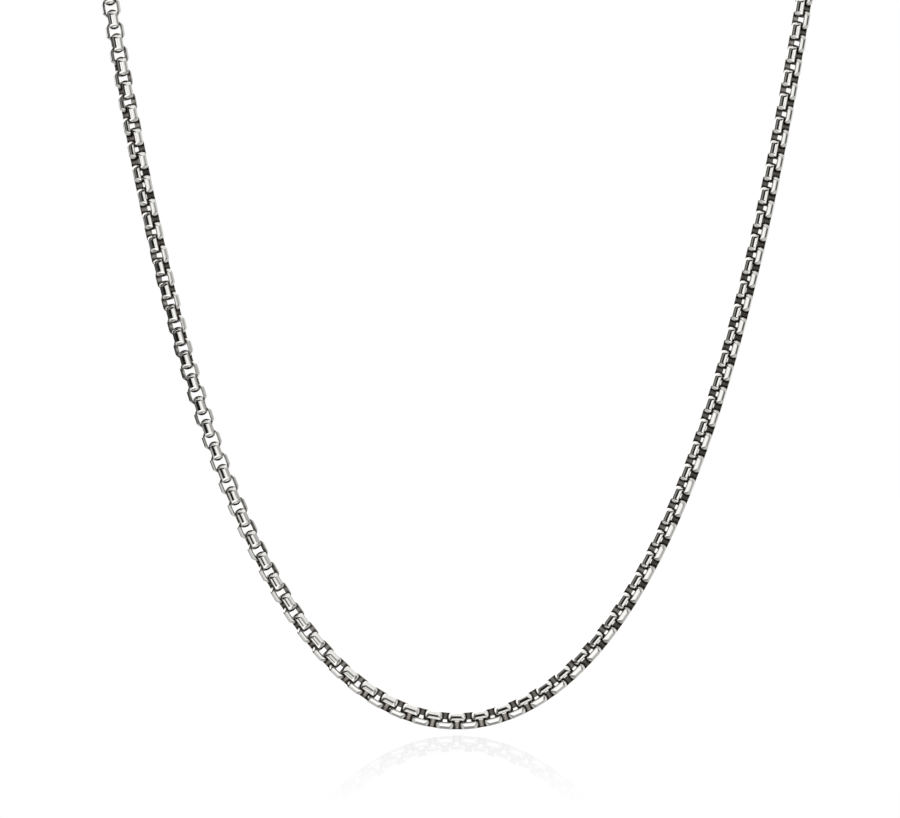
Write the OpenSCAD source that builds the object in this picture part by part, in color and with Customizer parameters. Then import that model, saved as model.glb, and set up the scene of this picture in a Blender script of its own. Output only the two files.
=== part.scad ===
// Rounded box chain necklace: a closed loop of half-round links with one clasp at the nape.
// Frame: X to the viewer's right, Y away from the viewer, Z up, millimetres.
// The origin is where the clasp rests on the back of the neck.

/* [Links] */
// Width across a link, over its two side walls
link_w = 3.62; // [3.4:0.02:4.2]
// Distance from the centre of one link to the centre of the next
pitch = 2.35; // [2.2:0.01:2.7]
// Thickness of the half-round wire at its crown
wire_t = 0.65; // [0.55:0.01:0.75]
// Thickness of the half-round wire along its two edges
edge_t = 0.12; // [0.1:0.01:0.2]
// Distance from the middle of a side wall to where the link's corner is ground off
facet_from = 1.05; // [0.8:0.05:1.2]
// Clearance on each side of a wire that passes through a link
side_play = 0.17; // [0.15:0.01:0.22]
// Clearance between two hooked links, along the chain
end_play = 0.24; // [0.2:0.01:0.3]

/* [Loop] */
// Radius of the hanging curve at its lowest point
sag_r = 27; // [24:0.5:34]
// Height over which the front hangs in one plane
front_h = 145; // [110:1:170]
// Depth of the loop, from the front to the nape
loop_d = 47; // [44:1:60]
// Height of the nape above the hanging front
nape_h = 42; // [38:1:55]

/* [Clasp] */
// Length of the clasp over its two end bars
clasp_len = 13; // [11:0.5:16]
// Height of the clasp, without its thumb stud
clasp_w = 6.4; // [5.8:0.1:8]
// Diameter of the end bars and of the gate
clasp_wire = 1.3; // [1.1:0.05:1.4]
// Diameter of the thick back bar
clasp_back = 2; // [1.6:0.1:2.4]
// Bend radius of the clasp's corners, to the middle of the bar
clasp_bend = 1.5; // [1:0.1:1.6]
// Clearance between an end bar and the end wall of the link on it
clasp_play = 0.14; // [0.12:0.01:0.2]
// Diameter of the round thumb stud on the gate
stud_d = 1.6; // [1.5:0.1:1.9]
// Distance of the thumb stud from the middle of the gate
stud_x = 1.8; // [0:0.1:2]

/* [Hidden] */
$fn = 48;

// Half-round wire: flat inside, domed outside, as wide as its neighbour's opening allows
opening_w = link_w - 2 * wire_t;
wire_w = opening_w - 2 * side_play;
dome_h = wire_t - edge_t;
dome_r = (dome_h * dome_h + wire_w * wire_w / 4) / (2 * dome_h);
link_len = pitch + 2 * wire_t + end_play;
opening_len = link_len - 2 * wire_t;

// The end bar of the clasp hooks the last link's end wall, so that link's centre lies this far outside it
bar_in_link = opening_len / 2 - clasp_play - clasp_wire / 2;
bar_x = (clasp_len - clasp_wire) / 2;

// The front hangs in the plane y = front_y, with its lowest point at the height front_z
nape_y = clasp_back / 2;
front_y = nape_y - loop_d;
front_z = -nape_h - front_h;

// Pull of the curve round the neck on its two ends, as shares of the height and the width it covers
RISE_PULL = 0.95;
NAPE_PULL = 0.48;

// Point and direction of the hanging curve, at the length s from its lowest point
function asinh(v) = ln(v + sqrt(v * v + 1));
function hang_point(s) = [sag_r * asinh(s / sag_r), front_y, front_z + sqrt(sag_r * sag_r + s * s) - sag_r];
function hang_dir(s) = [sag_r, 0, s] / sqrt(sag_r * sag_r + s * s);
front_half = sqrt(pow(sag_r + front_h, 2) - sag_r * sag_r);
front_end = hang_point(front_half);

// The curve round the neck: a cubic from the end of the front to the right end of the clasp
nape_end = [bar_x + bar_in_link - pitch / 2, nape_y, 0];
BACK = [
    front_end,
    front_end + RISE_PULL * nape_h * hang_dir(front_half),
    nape_end + [NAPE_PULL * (front_end.x - nape_end.x), 0, 0],
    nape_end
];
function back_point(t) =
    pow(1 - t, 3) * BACK[0] + 3 * pow(1 - t, 2) * t * BACK[1]
    + 3 * (1 - t) * t * t * BACK[2] + pow(t, 3) * BACK[3];
function back_slope(t) =
    pow(1 - t, 2) * (BACK[1] - BACK[0])
    + 2 * (1 - t) * t * (BACK[2] - BACK[1])
    + t * t * (BACK[3] - BACK[2]);
BACK_STEPS = 120;
// [length along the curve, t]
back_lengths = [
    for (i = 0, d = 0; i <= BACK_STEPS;
         d = d + norm(back_point((i + 1) / BACK_STEPS) - back_point(i / BACK_STEPS)), i = i + 1)
        [d, i / BACK_STEPS]
];
back_half = back_lengths[BACK_STEPS][0];

// A link is centred on the lowest point, and half_links more run up each side to the clasp
half_links = round((front_half + back_half) / pitch - 0.5);
step = (front_half + back_half) / (half_links + 0.5);

// Turn of the chain about its own length. At is 0 at the lowest point, -1 and 1 where the front ends
// on the left and the right, and -2 and 2 at the clasp. Turn is in degrees: at 0 the lowest link and
// every second one from it show their openings to the front, and at 90 they show their walls.
// The last link at each end turns its opening up, for the upright end bars of the clasp.
last_turn = half_links % 2 == 0 ? 0 : -90;
// [at, turn]
TURNS = [
    [-2, last_turn],
    [-1, -8],
    [-0.77, 47],
    [-0.51, 87],
    [-0.25, 112],
    [0, 135],
    [0.6, 135],
    [1, 122],
    [2, 180 + last_turn]
];

// Share of the way along the front, and past it along the curve round the neck
function at(s) = abs(s) <= front_half ? s / front_half : sign(s) * (1 + (abs(s) - front_half) / back_half);
function mirrored(v, s) = s < 0 ? [-v.x, v.y, v.z] : v;
function route_point(s) =
    abs(s) <= front_half
        ? hang_point(s)
        : mirrored(back_point(lookup(abs(s) - front_half, back_lengths)), s);
function route_dir(s) =
    abs(s) <= front_half
        ? hang_dir(s)
        : let (d = back_slope(lookup(abs(s) - front_half, back_lengths)))
          (s < 0 ? [d.x, -d.y, -d.z] : d) / norm(d);
// The side of the chain that faces forward on the front and turns to face up round the neck
function facing(s) =
    let (
        tip = 90 * max(abs(at(s)) - 1, 0),
        f = [0, -cos(tip), sin(tip)],
        d = route_dir(s),
        v = f - (f * d) * d
    )
    v / norm(v);

// Places what is modelled along +X, with its opening facing +Z, as link number i of the chain
module place_link(i) {
    s = i * step;
    turn = lookup(at(s), TURNS) + (i % 2 == 0 ? 0 : 90);
    x = route_dir(s);
    out = cross(x, facing(s));
    y = cos(turn) * out + sin(turn) * facing(s);
    z = cross(x, y);
    p = route_point(s);
    multmatrix([[x.x, y.x, z.x, p.x], [x.y, y.y, z.y, p.y], [x.z, y.z, z.z, p.z]])
        children();
}

// A bar with flat top and bottom and two domed sides, long enough to be cut by the other one
module domed_bar(length, width) {
    rotate([90, 0, 90])
        linear_extrude(length, center = true) {
            for (side = [-1, 1])
                translate([side * (width / 2 - dome_r), 0])
                    circle(r = dome_r);
            square([width - 2 * dome_r, 2 * dome_r], center = true);
        }
}

// Outline of a link along the crown of its wire: each corner is ground off at 45 degrees, with a narrow
// flat that breaks the edge on both sides of it. The straight sides stand clear of the domes, so that
// only the ground corners cut them.
CLEAR_OF_DOME = 0.05;
EDGE_BREAK = 0.05;
function edge_break(angle, at) = [angle, at.x * cos(angle) + at.y * sin(angle) - EDGE_BREAK];
// [direction that a side of the outline faces, its distance from the middle]
CORNER_SIDES = [
    [0, link_len / 2 + CLEAR_OF_DOME],
    edge_break(22.5, [link_len / 2, facet_from + link_w / 2 - link_len / 2]),
    [45, (facet_from + link_w / 2) * sin(45)],
    edge_break(67.5, [facet_from, link_w / 2]),
    [90, link_w / 2 + CLEAR_OF_DOME]
];
function meeting(a, b) =
    [a[1] * sin(b[0]) - b[1] * sin(a[0]), b[1] * cos(a[0]) - a[1] * cos(b[0])] / sin(b[0] - a[0]);
function reversed(list) = [for (k = [len(list) - 1:-1:0]) list[k]];
module crown_outline() {
    corner = [for (k = [1:len(CORNER_SIDES) - 1]) meeting(CORNER_SIDES[k - 1], CORNER_SIDES[k])];
    left = [for (p = reversed(corner)) [-p.x, p.y]];
    polygon(concat(corner, left, -corner, -left));
}

// One link: a square ring of half-round wire with ground corners, domed outside and flat round its opening
module link() {
    difference() {
        intersection() {
            linear_extrude(wire_w, center = true) crown_outline();
            domed_bar(2 * link_len, link_w);
            rotate([0, 0, 90]) domed_bar(2 * link_w, link_len);
        }
        cube([opening_len, opening_w, 2 * wire_w], center = true);
    }
}

module chain_left() {
    color("silver")
        for (i = [-half_links:-1])
            place_link(i) link();
}

module chain_right() {
    color("silver")
        for (i = [0:half_links])
            place_link(i) link();
}

// One quarter bend of round bar, from +X to +Z about the middle of the bend
module bend() {
    rotate([90, 0, 0])
        rotate_extrude(angle = 90)
            translate([clasp_bend, 0])
                circle(d = clasp_wire);
}

// The clasp, closed: an oblong ring with a thick back bar, a gate and a thumb stud, in one piece
module clasp() {
    bar_z = (clasp_w - clasp_back / 2 - clasp_wire / 2) / 2;
    color("silver")
        translate([0, nape_y, 0]) {
            for (side = [-1, 1])
                translate([side * bar_x, 0, 0])
                    cylinder(d = clasp_wire, h = 2 * (bar_z - clasp_bend), center = true);
            for (side = [0, 180], up = [0, 1])
                rotate([0, 0, side])
                    mirror([0, 0, up])
                        translate([bar_x - clasp_bend, 0, bar_z - clasp_bend])
                            bend();
            translate([0, 0, bar_z])
                rotate([0, 90, 0])
                    cylinder(d = clasp_wire, h = 2 * (bar_x - clasp_bend), center = true);
            translate([0, 0, -bar_z])
                rotate([0, 90, 0])
                    cylinder(d = clasp_back, h = 2 * (bar_x - clasp_bend), center = true);
            translate([stud_x, 0, bar_z + clasp_wire / 2])
                sphere(d = stud_d);
        }
}

chain_left();
chain_right();
clasp();
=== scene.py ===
import math

import bpy
import numpy as np
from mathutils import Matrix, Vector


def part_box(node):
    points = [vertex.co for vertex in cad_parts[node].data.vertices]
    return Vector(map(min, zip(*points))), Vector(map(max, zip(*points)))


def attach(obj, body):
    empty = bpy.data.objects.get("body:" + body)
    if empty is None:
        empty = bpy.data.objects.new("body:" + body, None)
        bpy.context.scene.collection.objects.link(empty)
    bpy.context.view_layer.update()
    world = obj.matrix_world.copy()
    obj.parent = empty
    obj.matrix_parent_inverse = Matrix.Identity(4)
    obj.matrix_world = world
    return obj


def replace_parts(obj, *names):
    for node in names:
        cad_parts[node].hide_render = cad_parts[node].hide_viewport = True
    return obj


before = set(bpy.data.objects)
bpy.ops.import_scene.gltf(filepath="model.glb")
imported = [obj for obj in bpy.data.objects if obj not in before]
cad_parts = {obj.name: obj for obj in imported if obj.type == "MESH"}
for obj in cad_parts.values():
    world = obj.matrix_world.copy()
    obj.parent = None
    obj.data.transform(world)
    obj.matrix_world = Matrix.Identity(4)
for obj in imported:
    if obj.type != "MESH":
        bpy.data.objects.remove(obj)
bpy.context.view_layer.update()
print("frame loaded")

scene = bpy.context.scene
mm = 0.001  # every size below is in millimetres until it is placed


def linearColour(hexText):
    # sRGB hex to the linear colour that a socket takes
    channels = [int(hexText[k:k + 2], 16) / 255 for k in (1, 3, 5)]
    linear = [c / 12.92 if c <= 0.04045 else ((c + 0.055) / 1.055) ** 2.4 for c in channels]
    return (*linear, 1.0)


def addNode(tree, kind, settings=None, links=None):
    # settings: a node property, an input by its name or number, or "stops", a ramp's (degrees, hex) pairs
    # links: an input by its name or number, fed by (node, output)
    node = tree.nodes.new(kind)
    for key, value in (settings or {}).items():
        if key == "stops":
            elements = node.color_ramp.elements
            while len(elements) < len(value):
                elements.new(0.5)
            for k, (degrees, hexText) in enumerate(value):
                elements[k].position = degrees / 360 + 0.5
            for element, (degrees, hexText) in zip(elements, value):
                element.color = linearColour(hexText)
        elif isinstance(key, int) or key in node.inputs:
            node.inputs[key].default_value = value
        else:
            setattr(node, key, value)
    for key, (source, output) in (links or {}).items():
        tree.links.new(source.outputs[output], node.inputs[key])
    return node


# The camera is level and square on to the hanging front. Pixels are the photo's, 900 x 818.
shot = {
    "pixels": (900, 818),
    "pixelSize": 0.1957,        # mm on the front's plane
    "lowestPoint": (457, 721.2),
    "distance": 1200,
    "sensor": 36,
}

chain = {
    "sagRadius": 27,            # radius of the hanging curve at its lowest point
    "frontHeight": 145,
    "loopDepth": 47,
    "napeHeight": 42,
    "risePull": 0.95,           # pulls of the curve round the neck, as shares of height and width
    "napePull": 0.48,
    "backSteps": 120,
    "pitch": 2.35,
    # turn about the chain's own length: 0 at the lowest link, 1 where the front ends, 2 at the clasp
    "turnAt": (-2, -1, -0.77, -0.51, -0.25, 0, 0.6, 1, 2),
    "turn": (0, -8, 47, 87, 112, 135, 135, 122, 180),
}

link = {
    "width": 3.62,
    "wire": 0.65,               # thickness at the crown of the half-round wire
    "edge": 0.12,               # thickness along its two edges
    "edgeRound": 0.035,         # the edges after polishing
    "insideBend": 0.4,          # corner radius of the opening
    "facetFrom": 1.05,          # from a side wall's middle to its corner, ground off at 45 degrees
    "facetRadius": 5,           # how round the ground corners are, across the wire
    "facetBlend": 0.2,          # depth over which walls and ground corners run into each other
    "sidePlay": 0.17,
    "endPlay": 0.24,
    "domeSteps": 10,
    "bendSteps": 5,
    "sideSteps": 12,
}

# how dark the silver is made, from 0 where it is polished bright to 1: partly black oxide left where it was
# never polished, partly painted shade in the recesses, inside the next link's opening and where neighbouring
# links pass
tarnish = {
    "domeFrom": 0.8,            # share of the dome's half width at which it starts
    "domeEdge": 0.6,
    "wireEdge": 0.7,
    "inside": 0.65,
    "insideMiddle": -0.08,      # painted shade taken off in the middle of the inside of a side wall, so it is lighter there
    "insideCornerShade": 0.75,       # painted shade added at the corners of the opening, where neighbouring links pass
    "cornerFrom": 0.6,          # mm from the middle of a side wall
    "endWallFrom": 0.7,         # how far the wire faces along the chain where its end wall starts, which is darkened with painted shade from there
    "most": 1.1,
}

clasp = {"wire": 1.3, "back": 2.0, "play": 0.14}

openingWidth = link["width"] - 2 * link["wire"]
openingLength = chain["pitch"] + link["endPlay"]
wireWidth = openingWidth - 2 * link["sidePlay"]
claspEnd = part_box("clasp")[1].x / mm - clasp["wire"] / 2
lastLink = claspEnd + openingLength / 2 - clasp["play"] - clasp["wire"] / 2

napeY = clasp["back"] / 2
frontY = napeY - chain["loopDepth"]
lowestZ = -chain["napeHeight"] - chain["frontHeight"]


def hangPoint(s):
    r = chain["sagRadius"]
    return np.array([r * math.asinh(s / r), frontY, lowestZ + math.hypot(r, s) - r])


def hangDirection(s):
    r = chain["sagRadius"]
    return np.array([r, 0, s]) / math.hypot(r, s)


frontHalf = math.sqrt((chain["sagRadius"] + chain["frontHeight"]) ** 2 - chain["sagRadius"] ** 2)
frontEnd = hangPoint(frontHalf)
napeEnd = np.array([lastLink - chain["pitch"] / 2, napeY, 0])
riseHandle = frontEnd + chain["risePull"] * chain["napeHeight"] * hangDirection(frontHalf)
napeHandle = napeEnd + np.array([chain["napePull"] * (frontEnd[0] - napeEnd[0]), 0, 0])


def backPoint(t):
    a = (1 - t) ** 3 * frontEnd + 3 * (1 - t) ** 2 * t * riseHandle
    return a + 3 * (1 - t) * t * t * napeHandle + t ** 3 * napeEnd


def backSlope(t):
    a = (1 - t) ** 2 * (riseHandle - frontEnd) + 2 * (1 - t) * t * (napeHandle - riseHandle)
    return a + t * t * (napeEnd - napeHandle)


backShares = [k / chain["backSteps"] for k in range(chain["backSteps"] + 1)]
backPoints = np.array([backPoint(t) for t in backShares])
backLengths = np.append(0, np.cumsum(np.linalg.norm(np.diff(backPoints, axis=0), axis=1)))
backHalf = backLengths[-1]
halfLinks = round((frontHalf + backHalf) / chain["pitch"] - 0.5)
linkStep = (frontHalf + backHalf) / (halfLinks + 0.5)


def linkPlace(i):
    # centre of link i and its three directions: along the chain, across, and through its opening
    s = i * linkStep
    side = -1 if s < 0 else 1
    past = abs(s) - frontHalf
    if past <= 0:
        where = s / frontHalf
        centre = hangPoint(s)
        along = hangDirection(s)
    else:
        where = side * (1 + past / backHalf)
        t = np.interp(past, backLengths, backShares)
        slope = backSlope(t) / np.linalg.norm(backSlope(t))
        centre = backPoint(t) * [side, 1, 1]
        along = slope * [1, side, side]
    tip = math.radians(90 * max(abs(where) - 1, 0))
    facing = np.array([0, -math.cos(tip), math.sin(tip)])
    facing = facing - facing.dot(along) * along
    facing = facing / np.linalg.norm(facing)
    turn = math.radians(np.interp(where, chain["turnAt"], chain["turn"]) + 90 * (i % 2))
    across = math.cos(turn) * np.cross(along, facing) + math.sin(turn) * facing
    return centre, np.array([along, across, np.cross(along, across)])


def wireSection():
    # half-round wire as (across, share of its thickness there, mm added to that, tarnish and painted shade),
    # once round:
    # the dome, then the flat inside
    half = wireWidth / 2
    soft = link["edgeRound"]
    reach = math.asin(half / domeRadius) - soft / domeRadius
    points = []
    for k in range(link["domeSteps"] + 1):
        share = 2 * k / link["domeSteps"] - 1
        dark = max(0, abs(share) - tarnish["domeFrom"]) / (1 - tarnish["domeFrom"]) * tarnish["domeEdge"]
        points.append((domeRadius * math.sin(share * reach), 1, 0, dark))
    points.append((half, 1, -soft / 2, tarnish["wireEdge"]))
    points.append((half, 0, soft, tarnish["wireEdge"]))
    points.append((half - soft, 0, 0, tarnish["inside"]))
    points.append((half - 4 * soft, 0, 0, tarnish["inside"]))
    points += [(-across, share, more, dark) for across, share, more, dark in reversed(points[-4:])]
    return points


def drop(radius, across):
    return radius - math.sqrt(radius ** 2 - across ** 2)


def softLower(a, b):
    # the lower of two heights, with a rounded edge between them
    blend = link["facetBlend"]
    near = max(blend - abs(a - b), 0)
    return min(a, b) - near ** 2 / (4 * blend)


def thickness(station, across):
    # from the inside of the wire to the outside, where side walls, end walls and ground corners meet
    x, y, outX, outY = (abs(value) for value in station)
    wallDrop = drop(domeRadius, across)
    facetEnd = link["facetFrom"] + link["width"] / 2 - math.sqrt(2) * drop(link["facetRadius"], across)
    out = (facetEnd - x - y) / (outX + outY)
    if outY > 0.01:
        out = softLower(out, (link["width"] / 2 - wallDrop - y) / outY)
    if outX > 0.01:
        out = softLower(out, (openingLength / 2 + link["wire"] - wallDrop - x) / outX)
    return out


def tarnishAndShadeAt(station, share, dark):
    # painted shade: end walls are darkened because they lie inside the next link's opening, where shade
    # falls, and so are the inside's corners, where neighbouring links pass
    x, outX = abs(station[0]), abs(station[2])
    # painted shade on the end walls, which lie inside the next link's opening
    dark += max(0, outX - tarnish["endWallFrom"]) / (1 - tarnish["endWallFrom"])
    # painted shade on the inside flat: a little lighter in the middle of a side wall, darker towards the
    # opening's corners
    if share == 0:
        dark += tarnish["insideMiddle"] + tarnish["insideCornerShade"] * min(1, x / tarnish["cornerFrom"]) ** 2
    return min(tarnish["most"], dark)


def openingPath():
    # the link's opening as (x, y, outward x, outward y), once round
    bend = link["insideBend"]
    x = openingLength / 2 - bend
    y = openingWidth / 2 - bend
    corners = [(x, y), (-x, y), (-x, -y), (x, -y)]
    path = []
    for quarter, (cornerX, cornerY) in enumerate(corners):
        for k in range(link["bendSteps"] + 1):
            angle = math.radians(90 * (quarter + k / link["bendSteps"]))
            outX = math.cos(angle)
            outY = math.sin(angle)
            path.append((cornerX + bend * outX, cornerY + bend * outY, outX, outY))
        nextX, nextY = corners[(quarter + 1) % 4]
        for k in range(1, link["sideSteps"]):
            # closer together near the corners
            share = (1 - math.cos(math.pi * k / link["sideSteps"])) / 2
            path.append((
                cornerX + share * (nextX - cornerX) + bend * outX,
                cornerY + share * (nextY - cornerY) + bend * outY,
                outX, outY,
            ))
    return path


domeHeight = link["wire"] - link["edge"]
domeRadius = (domeHeight ** 2 + wireWidth ** 2 / 4) / (2 * domeHeight)
section = wireSection()
path = openingPath()
linkPoints = []
for station in path:
    x, y, outX, outY = station
    for across, share, more, dark in section:
        out = share * thickness(station, across) + more
        linkPoints.append((x + out * outX, y + out * outY, across))
linkPoints = np.array(linkPoints)
linkTarnishAndShade = np.array([
    tarnishAndShadeAt(station, share, dark) for station in path for across, share, more, dark in section
])
stepLengths = [math.dist(path[k][:2], path[k - 1][:2]) for k in range(len(path))]
alongWire = np.append(np.cumsum(stepLengths) - stepLengths[0], sum(stepLengths))
crownSection = np.array([
    (across, share * link["wire"] + more) for across, share, more, dark in section + section[:1]
])
acrossWire = np.append(0, np.cumsum(np.linalg.norm(np.diff(crownSection, axis=0), axis=1)))

linkFaces = []
linkMap = []  # (mm along the wire, mm across it) at each face corner
for k in range(len(path)):
    for m in range(len(section)):
        corners = [(k, m), (k + 1, m), (k + 1, m + 1), (k, m + 1)]
        linkFaces.append([(a % len(path)) * len(section) + b % len(section) for a, b in corners])
        linkMap += [(alongWire[a], acrossWire[b]) for a, b in corners]
linkFaces = np.array(linkFaces)
linkMap = np.array(linkMap)
print("one link:", len(linkPoints), "points,", 2 * len(linkFaces), "triangles,", 2 * halfLinks + 1, "links")


# mm by which the pattern on one link is shifted from the last one's
mapShift = [13.7, 3.1]


def makeStrand(name, first, last, material):
    # the links from first to last as one mesh
    points = []
    faces = []
    wireMap = []
    for i in range(first, last + 1):
        centre, directions = linkPlace(i)
        faces.append(linkFaces + len(points) * len(linkPoints))
        points.append((linkPoints @ directions + centre) * mm)
        wireMap.append(linkMap + [shift * i for shift in mapShift])
    mesh = bpy.data.meshes.new(name)
    mesh.from_pydata(np.concatenate(points), [], np.concatenate(faces))
    mesh.shade_smooth()
    layer = mesh.uv_layers.new(name="wireMap")
    layer.uv.foreach_set("vector", np.concatenate(wireMap).astype(np.float32).ravel())
    darkness = mesh.attributes.new("tarnish", "FLOAT", "POINT")
    darkness.data.foreach_set("value", np.tile(linkTarnishAndShade, last - first + 1).astype(np.float32))
    mesh.materials.append(material)
    strand = bpy.data.objects.new(name, mesh)
    scene.collection.objects.link(strand)
    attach(strand, "root")
    return strand


wireFinish = {
    "bright": "#F4F3EF",
    # the grey and the black below stand for wear and oxide and also for painted shade in the links' recesses
    "wornAndShaded": "#9A948C",
    "wornAndShadedFrom": (0.15, 0.75),   # tarnish and painted shade over which bright turns to the worn and shaded grey
    "blackOxideAndShade": "#4A4642",
    "blackOxideAndShadeFrom": (0.66, 1.0),
    "roughness": (0.06, 0.26),  # bright and worn
    "linesPerMm": (0.35, 5),    # along the wire and across it
    "lineRoughness": 0.06,
    "lineDepth": 0.02,          # mm
    "blotchesPerMm": 1.7,
    "blotchStrength": 0.5,
}


def drawnSilver():
    # sterling silver, drawn as half-round wire, blackened, then polished on its crowns:
    # bright domes with faint lines along the wire, dark grey insides with black corners, partly oxide and
    # partly painted shade
    material = bpy.data.materials.new("drawnSterlingSilver")
    material.use_nodes = True
    tree = material.node_tree
    tree.nodes.clear()
    wireMap = addNode(tree, "ShaderNodeUVMap", {"uv_map": "wireMap"})
    darkness = addNode(tree, "ShaderNodeAttribute", {"attribute_name": "tarnish"})

    # die lines 0.2 mm apart, long along the wire; real ones are finer than a pixel
    stretched = addNode(
        tree, "ShaderNodeMapping", {"Scale": (*wireFinish["linesPerMm"], 1)}, {"Vector": (wireMap, "UV")},
    )
    dieLines = addNode(
        tree, "ShaderNodeTexNoise", {"Scale": 1, "Detail": 2}, {"Vector": (stretched, "Vector")},
    )
    # blotches 0.6 mm across where the blackening was polished through
    blotches = addNode(
        tree, "ShaderNodeTexNoise", {"Scale": wireFinish["blotchesPerMm"], "Detail": 3},
        {"Vector": (wireMap, "UV")},
    )
    strength = wireFinish["blotchStrength"]
    shifted = addNode(
        tree, "ShaderNodeMath", {"operation": "MULTIPLY_ADD", 1: strength, 2: -strength / 2},
        {0: (blotches, "Fac")},
    )
    total = addNode(
        tree, "ShaderNodeMath", {"operation": "ADD"}, {0: (darkness, "Fac"), 1: (shifted, "Value")},
    )

    # masks for wear and oxide together with painted shade, read from the tarnish-and-shade attribute
    low, high = wireFinish["wornAndShadedFrom"]
    wornAndShadedMask = addNode(
        tree, "ShaderNodeMapRange",
        {"interpolation_type": "SMOOTHSTEP", "From Min": low, "From Max": high}, {"Value": (total, "Value")},
    )
    low, high = wireFinish["blackOxideAndShadeFrom"]
    blackOxideAndShadeMask = addNode(
        tree, "ShaderNodeMapRange",
        {"interpolation_type": "SMOOTHSTEP", "From Min": low, "From Max": high}, {"Value": (total, "Value")},
    )
    polished = {
        "data_type": "RGBA",
        6: linearColour(wireFinish["bright"]), 7: linearColour(wireFinish["wornAndShaded"]),
    }
    wornAndShaded = addNode(tree, "ShaderNodeMix", polished, {0: (wornAndShadedMask, "Result")})
    colour = addNode(
        tree, "ShaderNodeMix", {"data_type": "RGBA", 7: linearColour(wireFinish["blackOxideAndShade"])},
        {0: (blackOxideAndShadeMask, "Result"), 6: (wornAndShaded, 2)},
    )

    low, high = wireFinish["roughness"]
    roughness = addNode(
        tree, "ShaderNodeMapRange", {"To Min": low, "To Max": high}, {"Value": (wornAndShadedMask, "Result")},
    )
    lineRoughness = addNode(
        tree, "ShaderNodeMath", {"operation": "MULTIPLY_ADD", 1: wireFinish["lineRoughness"]},
        {0: (dieLines, "Fac"), 2: (roughness, "Result")},
    )
    bump = addNode(
        tree, "ShaderNodeBump", {"Strength": 0.25, "Distance": wireFinish["lineDepth"] * mm},
        {"Height": (dieLines, "Fac")},
    )
    shader = addNode(
        tree, "ShaderNodeBsdfPrincipled", {"Metallic": 1.0},
        {
            "Base Color": (colour, 2), "Roughness": (lineRoughness, "Value"), "Normal": (bump, "Normal"),
        },
    )
    addNode(tree, "ShaderNodeOutputMaterial", links={"Surface": (shader, "BSDF")})
    return material


castFinish = {
    "bright": "#F4F2EC",
    "pitted": "#D9D6CF",
    "roughness": (0.12, 0.26),
    "waveSize": 2,              # mm
    "waveDepth": 0.03,          # mm
    "pitsPerMm": 3,
}


def castSilver():
    # sterling silver, cast and tumbled: bright, with soft waves and small pits
    material = bpy.data.materials.new("castSterlingSilver")
    material.use_nodes = True
    tree = material.node_tree
    tree.nodes.clear()
    place = addNode(tree, "ShaderNodeTexCoord")
    waves = addNode(
        tree, "ShaderNodeTexNoise", {"Scale": 1 / (castFinish["waveSize"] * mm), "Detail": 2},
        {"Vector": (place, "Object")},
    )
    pits = addNode(
        tree, "ShaderNodeTexNoise", {"Scale": castFinish["pitsPerMm"] / mm, "Detail": 3},
        {"Vector": (place, "Object")},
    )
    shade = addNode(
        tree, "ShaderNodeMapRange", {"From Min": 0.35, "From Max": 0.7}, {"Value": (pits, "Fac")},
    )
    tumbled = {
        "data_type": "RGBA",
        6: linearColour(castFinish["pitted"]), 7: linearColour(castFinish["bright"]),
    }
    colour = addNode(tree, "ShaderNodeMix", tumbled, {0: (shade, "Result")})
    low, high = castFinish["roughness"]
    roughness = addNode(
        tree, "ShaderNodeMapRange", {"To Min": low, "To Max": high}, {"Value": (waves, "Fac")},
    )
    bump = addNode(
        tree, "ShaderNodeBump", {"Strength": 0.3, "Distance": castFinish["waveDepth"] * mm},
        {"Height": (waves, "Fac")},
    )
    shader = addNode(
        tree, "ShaderNodeBsdfPrincipled", {"Metallic": 1.0},
        {
            "Base Color": (colour, 2), "Roughness": (roughness, "Result"), "Normal": (bump, "Normal"),
        },
    )
    addNode(tree, "ShaderNodeOutputMaterial", links={"Surface": (shader, "BSDF")})
    return material


silverWire = drawnSilver()
frontLinks = int(frontHalf / linkStep)
strands = {
    "links_left_neck": (-halfLinks, -frontLinks - 1, "chain_left"),
    "links_left_front": (-frontLinks, -1, "chain_left"),
    "links_right_front": (0, frontLinks, "chain_right"),
    "links_right_neck": (frontLinks + 1, halfLinks, "chain_right"),
}
for name, (first, last, node) in strands.items():
    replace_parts(makeStrand(name, first, last, silverWire), node)
print("links made")

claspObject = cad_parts["clasp"]
claspObject.data.materials.clear()
claspObject.data.materials.append(castSilver())
print("clasp finished")


floor = {
    "height": lowestZ - 2.2,
    "half": 3000,               # half the length of its sides
    "shine": 0.15,              # share of the light that it mirrors under the chain
    "shineReach": 220,          # mm in front of the chain at which that has faded out
    "roughness": 0.02,
}


def lightTable():
    # white acrylic lit from below: as bright as the background, with a faint mirror image
    material = bpy.data.materials.new("litAcrylic")
    material.use_nodes = True
    tree = material.node_tree
    tree.nodes.clear()
    place = addNode(tree, "ShaderNodeTexCoord")
    parts = addNode(tree, "ShaderNodeSeparateXYZ", links={"Vector": (place, "Object")})
    shine = addNode(
        tree, "ShaderNodeMapRange",
        {
            "From Min": (frontY - floor["shineReach"]) * mm, "From Max": frontY * mm,
            "To Min": 0.0, "To Max": floor["shine"],
        },
        {"Value": (parts, "Y")},
    )
    glow = addNode(tree, "ShaderNodeEmission", {"Color": (1, 1, 1, 1), "Strength": 1.0})
    mirror = addNode(
        tree, "ShaderNodeBsdfGlossy", {"Color": (1, 1, 1, 1), "Roughness": floor["roughness"]},
    )
    surface = addNode(
        tree, "ShaderNodeMixShader",
        links={0: (shine, "Result"), 1: (glow, "Emission"), 2: (mirror, "BSDF")},
    )
    addNode(tree, "ShaderNodeOutputMaterial", links={"Surface": (surface, "Shader")})
    return material


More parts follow.
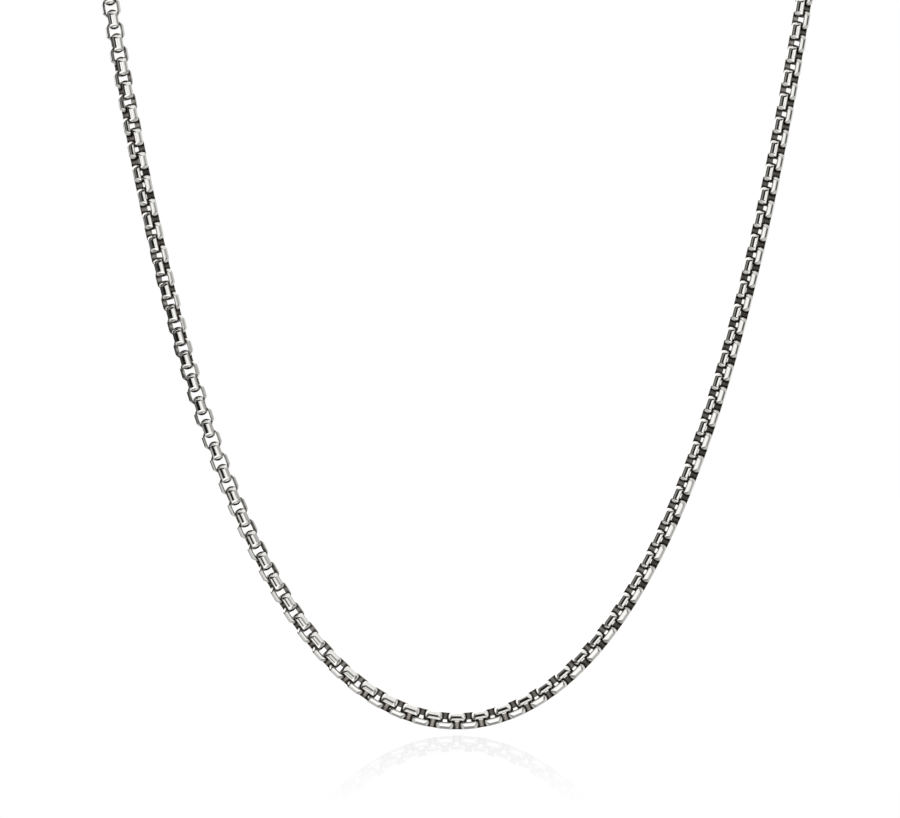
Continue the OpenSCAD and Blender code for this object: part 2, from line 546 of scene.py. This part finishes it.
half = floor["half"] * mm
height = floor["height"] * mm
floorCorners = [(-half, -half, height), (half, -half, height), (half, half, height), (-half, half, height)]
floorMesh = bpy.data.meshes.new("floor")
floorMesh.from_pydata(floorCorners, [], [(0, 1, 2, 3)])
floorMesh.materials.append(lightTable())
floorObject = bpy.data.objects.new("floor", floorMesh)
scene.collection.objects.link(floorObject)
floorObject.visible_glossy = False
print("floor made")


studio = {
    # what the metal mirrors at four heights, as (degrees to the right of the camera, grey)
    "high": [
        (-180, "#F8F8F8"), (-114, "#E8E8E8"), (-102, "#303030"), (-86, "#242424"), (-76, "#787878"),
        (-60, "#787878"), (-48, "#1C1C1C"), (-20, "#1C1C1C"), (8, "#242424"), (40, "#909090"),
        (120, "#A0A0A0"), (160, "#C4C4C4"), (180, "#F8F8F8"),
    ],
    "level": [
        (-180, "#FFFFFF"), (-173, "#FFFFFF"), (-166, "#D0D0D0"), (-128, "#A0A0A0"), (-114, "#282828"),
        (-34, "#141414"), (-22, "#F0F0F0"), (-10, "#FFFFFF"), (1, "#B8B8B8"), (5, "#B8B8B8"),
        (13, "#E8E8E8"), (56, "#CCCCCC"), (68, "#787878"), (92, "#787878"), (106, "#C4C4C4"),
        (160, "#A8A8A8"), (173, "#FFFFFF"), (180, "#FFFFFF"),
    ],
    "under": [
        (-180, "#FFFFFF"), (-170, "#E0E0E0"), (-158, "#303030"), (-118, "#181818"), (-104, "#2C2C2C"),
        (-78, "#343434"), (-60, "#101010"), (-12, "#101010"), (-2, "#D0D0D0"), (13, "#E8E8E8"),
        (56, "#D0D0D0"), (68, "#505050"), (104, "#505050"), (118, "#D0D0D0"), (160, "#B0B0B0"),
        (173, "#FFFFFF"), (180, "#FFFFFF"),
    ],
    "low": [
        (-180, "#A0A0A0"), (-100, "#A8A8A8"), (-50, "#CCCCCC"), (-20, "#F8F8F8"), (10, "#F8F8F8"),
        (40, "#DCDCDC"), (80, "#8C8C8C"), (130, "#B4B4B4"), (180, "#8C8C8C"),
    ],
    "top": "#D4D4D4",
    "bottom": "#7C7C7C",
    # upward parts of a direction between which one height runs into the next
    "bottomToLow": (-0.92, -0.8),
    "lowToUnder": (-0.36, -0.26),
    "underToLevel": (-0.03, 0.01),
    "levelToHigh": (0.2, 0.3),
    "highToTop": (0.8, 0.92),
    "tilt": 0.45,               # slope of the dark cards' edges
    "strength": 1.4,
}


def studioLight():
    # a white room for the camera; the metal mirrors grey and white cards all round it
    world = bpy.data.worlds.new("studio")
    world.use_nodes = True
    tree = world.node_tree
    tree.nodes.clear()
    place = addNode(tree, "ShaderNodeTexCoord")
    parts = addNode(tree, "ShaderNodeSeparateXYZ", links={"Vector": (place, "Generated")})
    front = addNode(tree, "ShaderNodeMath", {"operation": "MULTIPLY", 1: -1}, {0: (parts, "Y")})
    angle = addNode(
        tree, "ShaderNodeMath", {"operation": "ARCTAN2"}, {0: (parts, "X"), 1: (front, "Value")},
    )
    turn = addNode(
        tree, "ShaderNodeMapRange", {"From Min": -math.pi, "From Max": math.pi},
        {"Value": (angle, "Value")},
    )
    # the dark cards' lower edge comes down to the left, and their upper edge to the right
    sloped = {}
    for height, side, slope in (("high", "MINIMUM", -studio["tilt"]), ("top", "MAXIMUM", studio["tilt"])):
        sideways = addNode(tree, "ShaderNodeMath", {"operation": side, 1: 0}, {0: (parts, "X")})
        sloped[height] = addNode(
            tree, "ShaderNodeMath", {"operation": "MULTIPLY_ADD", 1: slope},
            {0: (sideways, "Value"), 2: (parts, "Z")},
        )

    # from the bottom up, each height takes over from what is below it
    cards = addNode(tree, "ShaderNodeRGB")
    cards.outputs["Color"].default_value = linearColour(studio["bottom"])
    output = "Color"
    for height, span in (
        ("low", "bottomToLow"), ("under", "lowToUnder"), ("level", "underToLevel"),
        ("high", "levelToHigh"), ("top", "highToTop"),
    ):
        low, high = studio[span]
        share = addNode(
            tree, "ShaderNodeMapRange",
            {"interpolation_type": "SMOOTHSTEP", "From Min": low, "From Max": high},
            {"Value": (sloped[height], "Value") if height in sloped else (parts, "Z")},
        )
        settings = {"data_type": "RGBA"}
        links = {0: (share, "Result"), 6: (cards, output)}
        if height == "top":
            settings[7] = linearColour(studio["top"])
        else:
            ring = addNode(
                tree, "ShaderNodeValToRGB", {"stops": studio[height]}, {"Fac": (turn, "Result")},
            )
            links[7] = (ring, "Color")
        cards = addNode(tree, "ShaderNodeMix", settings, links)
        output = 2
    mirrored = addNode(
        tree, "ShaderNodeBackground", {"Strength": studio["strength"]}, {"Color": (cards, output)},
    )
    white = addNode(tree, "ShaderNodeBackground", {"Color": (1, 1, 1, 1), "Strength": 1.0})
    ray = addNode(tree, "ShaderNodeLightPath")
    both = addNode(
        tree, "ShaderNodeMixShader",
        links={0: (ray, "Is Camera Ray"), 1: (mirrored, "Background"), 2: (white, "Background")},
    )
    addNode(tree, "ShaderNodeOutputWorld", links={"Surface": (both, "Shader")})
    return world


scene.world = studioLight()
scene.view_settings.view_transform = "Standard"
print("studio made")


cameraData = bpy.data.cameras.new("camera")
cameraData.sensor_width = shot["sensor"]
cameraData.lens = shot["sensor"] * shot["distance"] / (shot["pixels"][0] * shot["pixelSize"])
cameraData.clip_start = 0.05
cameraData.clip_end = 20
camera = bpy.data.objects.new("camera", cameraData)
scene.collection.objects.link(camera)
middleX = (shot["pixels"][0] / 2 - shot["lowestPoint"][0]) * shot["pixelSize"]
middleZ = lowestZ + (shot["lowestPoint"][1] - shot["pixels"][1] / 2) * shot["pixelSize"]
camera.location = (middleX * mm, (frontY - shot["distance"]) * mm, middleZ * mm)
camera.rotation_euler = (math.radians(90), 0, 0)
scene.camera = camera
print("camera placed")
